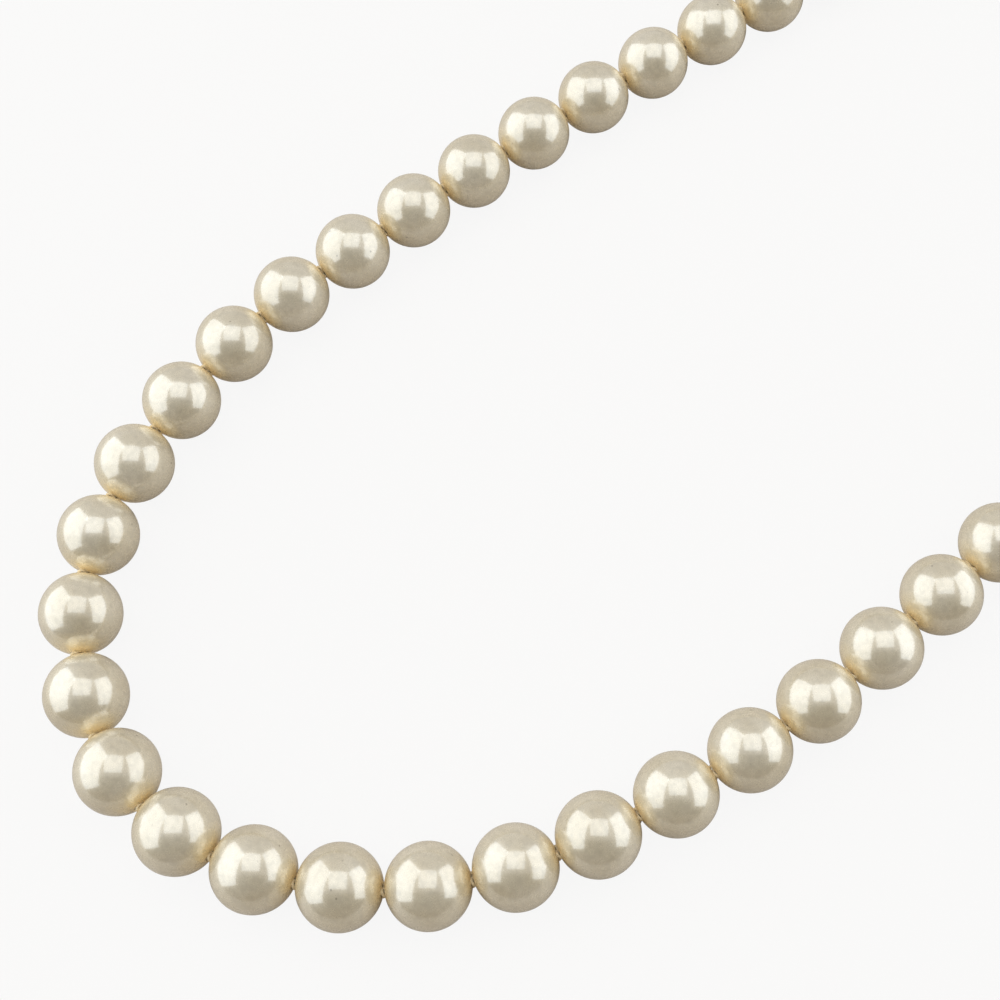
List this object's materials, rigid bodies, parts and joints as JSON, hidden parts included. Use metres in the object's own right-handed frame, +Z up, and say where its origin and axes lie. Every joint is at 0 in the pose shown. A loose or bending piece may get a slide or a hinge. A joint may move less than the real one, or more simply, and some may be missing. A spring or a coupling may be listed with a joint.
{
  "type": "pearl necklace",
  "caption": "Graduated cream pearl necklace strung on thread, closed in a loop by a lobster-claw clasp and end rings",
  "frame": {"origin": "bottom centre of the whole necklace, on the table it lies on", "axes": "+Y from the largest pearl towards the clasp, +Z up from the table, +X to the right with the clasp away"},
  "size_m": [0.0774, 0.176, 0.0084],
  "materials": {
    "pearl": null,
    "thread": "twisted silk thread, matt",
    "clasp": "polished gilt metal",
    "gimp": "fine coiled gilt wire",
    "spring": "bright spring steel"
  },
  "bodies": {
    "row_01": {"pearl_left_01": "pearl", "pearl_right_01": "pearl", "gimp_left": "gimp", "gimp_right": "gimp", "silk_thread": "thread"},
    "claw": {"claw_body": "clasp", "gate_pin": "clasp", "gate_spring": "spring"},
    "gate": {"claw_gate": "clasp"},
    "claw_ring": {"claw_ring": "clasp"},
    "end_ring": {"end_ring": "clasp"},
    "row_02": {"pearl_left_02": "pearl", "pearl_right_02": "pearl"},
    "row_03": {"pearl_left_03": "pearl", "pearl_right_03": "pearl"},
    "row_04": {"pearl_left_04": "pearl", "pearl_right_04": "pearl"},
    "row_05": {"pearl_left_05": "pearl", "pearl_right_05": "pearl"},
    "row_06": {"pearl_left_06": "pearl", "pearl_right_06": "pearl"},
    "row_07": {"pearl_left_07": "pearl", "pearl_right_07": "pearl"},
    "row_08": {"pearl_left_08": "pearl", "pearl_right_08": "pearl"},
    "row_09": {"pearl_left_09": "pearl", "pearl_right_09": "pearl"},
    "row_10": {"pearl_left_10": "pearl", "pearl_right_10": "pearl"},
    "row_11": {"pearl_left_11": "pearl", "pearl_right_11": "pearl"},
    "row_12": {"pearl_left_12": "pearl", "pearl_right_12": "pearl"},
    "row_13": {"pearl_left_13": "pearl", "pearl_right_13": "pearl"},
    "row_14": {"pearl_left_14": "pearl", "pearl_right_14": "pearl"},
    "row_15": {"pearl_left_15": "pearl", "pearl_right_15": "pearl"},
    "row_16": {"pearl_left_16": "pearl", "pearl_right_16": "pearl"},
    "row_17": {"pearl_left_17": "pearl", "pearl_right_17": "pearl"},
    "row_18": {"pearl_left_18": "pearl", "pearl_right_18": "pearl"},
    "row_19": {"pearl_left_19": "pearl", "pearl_right_19": "pearl"},
    "row_20": {"pearl_left_20": "pearl", "pearl_right_20": "pearl"},
    "row_21": {"pearl_left_21": "pearl", "pearl_right_21": "pearl"},
    "row_22": {"pearl_left_22": "pearl", "pearl_right_22": "pearl"},
    "row_23": {"pearl_left_23": "pearl", "pearl_right_23": "pearl"},
    "row_24": {"pearl_left_24": "pearl", "pearl_right_24": "pearl"},
    "centre": {"pearl_centre": "pearl"}
  },
  "joints": [
    {"name": "claw_roll", "type": "hinge", "parent": "row_01", "child": "claw", "pos_m": [-0.00422, 0.08475, 0.0023], "axis": [0.9996, 0.0276, 0], "range_deg": [-15, 15]},
    {"name": "gate_swing", "type": "hinge", "parent": "claw", "child": "gate", "pos_m": [-0.00576, 0.08271, 0.0023], "axis": [0, 0, 1], "range_deg": [0, 28], "stiffness_Nm_per_rad": 0.002, "springref_deg": -11.46, "deforming": ["gate_spring"]},
    {"name": "claw_ring_turn", "type": "hinge", "parent": "row_01", "child": "claw_ring", "pos_m": [-0.00997, 0.08459, 0.0023], "axis": [0.9996, 0.0276, 0], "range_deg": [-15, 15]},
    {"name": "end_ring_turn", "type": "hinge", "parent": "row_01", "child": "end_ring", "pos_m": [0.00093, 0.08489, 0.0023], "axis": [0.9996, 0.0276, 0], "range_deg": [-15, 15]},
    {"name": "row_02_fold", "type": "hinge", "parent": "row_01", "child": "row_02", "pos_m": [-0.00438, 0.08298, 0.00347], "axis": [0.999, 0.0446, 0], "range_deg": [-15, 15], "deforming": ["silk_thread"]},
    {"name": "row_03_fold", "type": "hinge", "parent": "row_02", "child": "row_03", "pos_m": [-0.00404, 0.07849, 0.0035], "axis": [0.9986, 0.0537, 0], "range_deg": [-15, 15], "deforming": ["silk_thread"]},
    {"name": "row_04_fold", "type": "hinge", "parent": "row_03", "child": "row_04", "pos_m": [-0.00369, 0.07225, 0.00353], "axis": [-0.9986, -0.0535, 0], "range_deg": [-15, 15], "deforming": ["silk_thread"]},
    {"name": "row_05_fold", "type": "hinge", "parent": "row_04", "child": "row_05", "pos_m": [-0.00334, 0.06507, 0.00356], "axis": [-0.9986, -0.0531, 0], "range_deg": [-15, 15], "deforming": ["silk_thread"]},
    {"name": "row_06_fold", "type": "hinge", "parent": "row_05", "child": "row_06", "pos_m": [-0.00309, 0.05763, 0.00359], "axis": [-0.9986, -0.0524, 0], "range_deg": [-15, 15], "deforming": ["silk_thread"]},
    {"name": "row_07_fold", "type": "hinge", "parent": "row_06", "child": "row_07", "pos_m": [-0.00293, 0.05008, 0.00362], "axis": [-0.9987, -0.0519, 0], "range_deg": [-15, 15], "deforming": ["silk_thread"]},
    {"name": "row_08_fold", "type": "hinge", "parent": "row_07", "child": "row_08", "pos_m": [-0.0028, 0.04247, 0.00365], "axis": [0.9987, 0.0517, 0], "range_deg": [-15, 15], "deforming": ["silk_thread"]},
    {"name": "row_09_fold", "type": "hinge", "parent": "row_08", "child": "row_09", "pos_m": [-0.00265, 0.0348, 0.00368], "axis": [0.9987, 0.0515, 0], "range_deg": [-15, 15], "deforming": ["silk_thread"]},
    {"name": "row_10_fold", "type": "hinge", "parent": "row_09", "child": "row_10", "pos_m": [-0.00247, 0.02706, 0.00372], "axis": [0.9987, 0.0513, 0], "range_deg": [-15, 15], "deforming": ["silk_thread"]},
    {"name": "row_11_fold", "type": "hinge", "parent": "row_10", "child": "row_11", "pos_m": [-0.00228, 0.01927, 0.00375], "axis": [0.9987, 0.051, 0], "range_deg": [-15, 15], "deforming": ["silk_thread"]},
    {"name": "row_12_fold", "type": "hinge", "parent": "row_11", "child": "row_12", "pos_m": [-0.00206, 0.01143, 0.00378], "axis": [-0.9987, -0.0506, 0], "range_deg": [-15, 15], "deforming": ["silk_thread"]},
    {"name": "row_13_fold", "type": "hinge", "parent": "row_12", "child": "row_13", "pos_m": [-0.00175, 0.00353, 0.00381], "axis": [-0.9987, -0.0504, 0], "range_deg": [-15, 15], "deforming": ["silk_thread"]},
    {"name": "row_14_fold", "type": "hinge", "parent": "row_13", "child": "row_14", "pos_m": [-0.00132, -0.00443, 0.00384], "axis": [-0.9987, -0.0504, 0], "range_deg": [-15, 15], "deforming": ["silk_thread"]},
    {"name": "row_15_fold", "type": "hinge", "parent": "row_14", "child": "row_15", "pos_m": [-0.00078, -0.01244, 0.00387], "axis": [-0.9987, -0.0507, 0], "range_deg": [-15, 15], "deforming": ["silk_thread"]},
    {"name": "row_16_fold", "type": "hinge", "parent": "row_15", "child": "row_16", "pos_m": [-0.00018, -0.02053, 0.0039], "axis": [0.9987, 0.0509, 0], "range_deg": [-15, 15], "deforming": ["silk_thread"]},
    {"name": "row_17_fold", "type": "hinge", "parent": "row_16", "child": "row_17", "pos_m": [0.00025, -0.02869, 0.00393], "axis": [0.9987, 0.0509, 0], "range_deg": [-15, 15], "deforming": ["silk_thread"]},
    {"name": "row_18_fold", "type": "hinge", "parent": "row_17", "child": "row_18", "pos_m": [0.00037, -0.03694, 0.00397], "axis": [0.9987, 0.0512, 0], "range_deg": [-15, 15], "deforming": ["silk_thread"]},
    {"name": "row_19_fold", "type": "hinge", "parent": "row_18", "child": "row_19", "pos_m": [0.0005, -0.0452, 0.004], "axis": [0.9986, 0.0521, 0], "range_deg": [-15, 15], "deforming": ["silk_thread"]},
    {"name": "row_20_fold", "type": "hinge", "parent": "row_19", "child": "row_20", "pos_m": [0.00085, -0.05341, 0.00403], "axis": [-0.9986, -0.0525, 0], "range_deg": [-15, 15], "deforming": ["silk_thread"]},
    {"name": "row_21_fold", "type": "hinge", "parent": "row_20", "child": "row_21", "pos_m": [0.00112, -0.06143, 0.00406], "axis": [-0.9985, -0.0542, 0], "range_deg": [-15, 15], "deforming": ["silk_thread"]},
    {"name": "row_22_fold", "type": "hinge", "parent": "row_21", "child": "row_22", "pos_m": [0.00123, -0.06898, 0.00409], "axis": [-0.9982, -0.0605, 0], "range_deg": [-15, 15], "deforming": ["silk_thread"]},
    {"name": "row_23_fold", "type": "hinge", "parent": "row_22", "child": "row_23", "pos_m": [0.00144, -0.07556, 0.00412], "axis": [-0.9976, -0.0693, 0], "range_deg": [-15, 15], "deforming": ["silk_thread"]},
    {"name": "row_24_fold", "type": "hinge", "parent": "row_23", "child": "row_24", "pos_m": [0.00176, -0.08064, 0.00415], "axis": [0.9973, 0.0736, 0], "range_deg": [-15, 15], "deforming": ["silk_thread"]},
    {"name": "centre_pearl_turn", "type": "hinge", "parent": "row_24", "child": "centre", "pos_m": [0.00198, -0.0836, 0.00418], "axis": [0.9974, 0.0724, 0], "continuous": true, "deforming": ["silk_thread"]}
  ]
}
